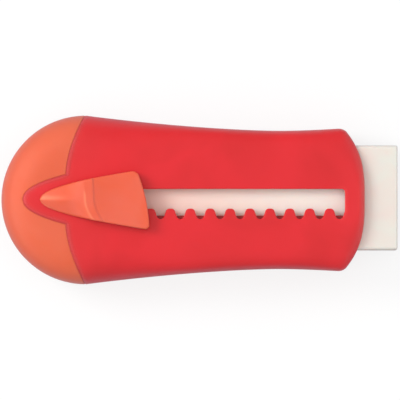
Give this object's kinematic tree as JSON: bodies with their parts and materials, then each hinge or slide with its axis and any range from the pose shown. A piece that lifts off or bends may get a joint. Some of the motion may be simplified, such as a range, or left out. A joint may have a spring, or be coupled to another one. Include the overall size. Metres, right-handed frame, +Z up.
{
  "type": "retractable slide eraser",
  "caption": "Hand-held eraser block in a pebble-shaped sleeve, advanced by a thumb button that clicks along a toothed slot.",
  "frame": {"origin": "middle of the object's box, on the plane of the flat base it lies on", "axes": "+X towards the end that the eraser block comes out of, +Z up through the thumb button, +Y across the case"},
  "size_m": [0.0798, 0.034, 0.0193],
  "materials": {
    "case_plastic": "satin moulded",
    "cap_plastic": "satin moulded",
    "button_plastic": "satin moulded",
    "vinyl_eraser": "matt, slightly waxy"
  },
  "bodies": {
    "casing": {"case_sleeve": "case_plastic", "end_cap": "cap_plastic"},
    "slider": {"thumb_button": "button_plastic", "eraser_holder": "button_plastic", "detent_finger": "button_plastic", "eraser_block": "vinyl_eraser"}
  },
  "joints": [
    {"name": "block_slide", "type": "slide", "parent": "casing", "child": "slider", "axis": [1, 0, 0], "range_m": [0, 0.04], "deforming": ["detent_finger"]}
  ]
}
